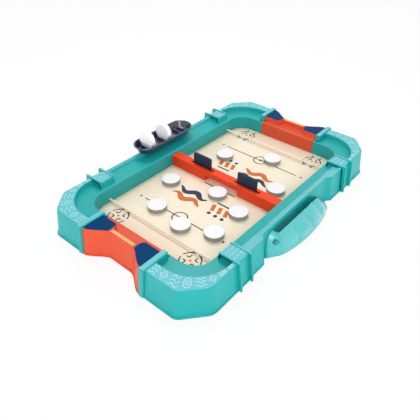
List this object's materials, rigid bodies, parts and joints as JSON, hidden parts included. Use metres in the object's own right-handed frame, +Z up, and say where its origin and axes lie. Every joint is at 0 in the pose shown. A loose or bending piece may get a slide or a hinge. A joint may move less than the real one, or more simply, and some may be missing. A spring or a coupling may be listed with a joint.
{
  "type": "table hockey game",
  "caption": "Tabletop sling puck hockey game: framed board with a gated divider, elastic launching cords, loose pucks, sliding shutters, puck tray and carry handle.",
  "frame": {"origin": "on the table, under the middle of the whole outline in plan", "axes": "+X along the board towards its far end, +Y towards the puck tray, +Z up"},
  "size_m": [0.4504, 0.2975, 0.0718],
  "materials": {
    "turquoise_plastic": "moulded, satin gloss",
    "orange_plastic": "moulded, satin gloss",
    "navy_film": "printed film",
    "dark_navy_plastic": "moulded, gloss",
    "printed_paper": "printed, satin varnish",
    "board_fibre": "pressed fibre board",
    "elastic_cream": "round elastic cord",
    "white_plastic": "smooth, fine satin",
    "grey_plastic": "moulded, matt",
    "foot_rubber": "matt",
    "screw_steel": "zinc plated"
  },
  "bodies": {
    "frame": {"base_panel": "grey_plastic", "play_board": "board_fibre", "printed_sheet": "printed_paper", "tray_side_rail": "turquoise_plastic", "handle_side_rail": "turquoise_plastic", "near_tray_corner": "turquoise_plastic", "near_handle_corner": "turquoise_plastic", "far_tray_corner": "turquoise_plastic", "far_handle_corner": "turquoise_plastic", "near_tray_collar": "turquoise_plastic", "near_handle_collar": "turquoise_plastic", "far_tray_collar": "turquoise_plastic", "far_handle_collar": "turquoise_plastic", "near_grip": "orange_plastic", "far_grip": "orange_plastic", "near_grip_film": "navy_film", "far_grip_film": "navy_film", "near_elastic_cord": "elastic_cream", "far_elastic_cord": "elastic_cream", "near_tray_cord_stop": "dark_navy_plastic", "near_handle_cord_stop": "dark_navy_plastic", "far_tray_cord_stop": "dark_navy_plastic", "far_handle_cord_stop": "dark_navy_plastic", "divider": "orange_plastic", "carry_handle": "turquoise_plastic", "near_tray_corner_screw": "screw_steel", "near_tray_rail_screw": "screw_steel", "near_tray_grip_screw": "screw_steel", "near_handle_corner_screw": "screw_steel", "near_handle_rail_screw": "screw_steel", "near_handle_grip_screw": "screw_steel", "far_tray_corner_screw": "screw_steel", "far_tray_rail_screw": "screw_steel", "far_tray_grip_screw": "screw_steel", "far_handle_corner_screw": "screw_steel", "far_handle_rail_screw": "screw_steel", "far_handle_grip_screw": "screw_steel", "near_handle_screw": "screw_steel", "far_handle_screw": "screw_steel", "near_tray_foot": "foot_rubber", "near_handle_foot": "foot_rubber", "far_tray_foot": "foot_rubber", "far_handle_foot": "foot_rubber"},
    "tray_shutter": {"tray_side_shutter": "dark_navy_plastic"},
    "handle_shutter": {"handle_side_shutter": "dark_navy_plastic"},
    "tray": {"puck_tray": "dark_navy_plastic"},
    "stored_puck_near": {"tray_puck_near": "white_plastic"},
    "stored_puck_middle": {"tray_puck_middle": "white_plastic"},
    "puck_near_left": {"near_puck_left": "white_plastic"},
    "puck_near_left_back": {"near_puck_left_back": "white_plastic"},
    "puck_near_middle": {"near_puck_middle": "white_plastic"},
    "puck_near_right": {"near_puck_right": "white_plastic"},
    "puck_near_right_back": {"near_puck_right_back": "white_plastic"},
    "puck_gate": {"gate_puck": "white_plastic"},
    "puck_far_left": {"far_puck_left": "white_plastic"},
    "puck_far_middle": {"far_puck_middle": "white_plastic"},
    "puck_far_right": {"far_puck_right": "white_plastic"}
  },
  "joints": [
    {"name": "tray_shutter_slide", "type": "slide", "parent": "frame", "child": "tray_shutter", "axis": [0, 1, 0], "range_m": [-0.0056, 0.0056]},
    {"name": "handle_shutter_slide", "type": "slide", "parent": "frame", "child": "handle_shutter", "axis": [0, 1, 0], "range_m": [-0.0056, 0.0056]},
    {"name": "tray_lift", "type": "slide", "parent": "frame", "child": "tray", "axis": [0, 0, 1], "range_m": [0, 0.04]},
    {"name": "stored_puck_near_lift", "type": "slide", "parent": "tray", "child": "stored_puck_near", "axis": [0, 0, 1], "range_m": [0, 0.035]},
    {"name": "stored_puck_middle_lift", "type": "slide", "parent": "tray", "child": "stored_puck_middle", "axis": [0, 0, 1], "range_m": [0, 0.035]},
    {"name": "puck_near_left_slide", "type": "slide", "parent": "frame", "child": "puck_near_left", "axis": [1, 0, 0], "range_m": [-0.077, 0.0226]},
    {"name": "puck_near_left_back_slide", "type": "slide", "parent": "frame", "child": "puck_near_left_back", "axis": [1, 0, 0], "range_m": [-0.0173, 0.0823]},
    {"name": "puck_near_middle_slide", "type": "slide", "parent": "frame", "child": "puck_near_middle", "axis": [1, 0, 0], "range_m": [-0.0082, 0.0284]},
    {"name": "puck_near_right_slide", "type": "slide", "parent": "frame", "child": "puck_near_right", "axis": [1, 0, 0], "range_m": [-0.0037, 0.0193]},
    {"name": "puck_near_right_back_slide", "type": "slide", "parent": "frame", "child": "puck_near_right_back", "axis": [1, 0, 0], "range_m": [-0.0252, 0.0224]},
    {"name": "puck_gate_slide", "type": "slide", "parent": "frame", "child": "puck_gate", "axis": [1, 0, 0], "range_m": [-0.0299, 0.0651]},
    {"name": "puck_far_left_slide", "type": "slide", "parent": "frame", "child": "puck_far_left", "axis": [1, 0, 0], "range_m": [-0.0448, 0.0548]},
    {"name": "puck_far_middle_slide", "type": "slide", "parent": "frame", "child": "puck_far_middle", "axis": [1, 0, 0], "range_m": [-0.0365, 0.0151]},
    {"name": "puck_far_right_slide", "type": "slide", "parent": "frame", "child": "puck_far_right", "axis": [1, 0, 0], "range_m": [-0.0173, 0.0823]}
  ]
}
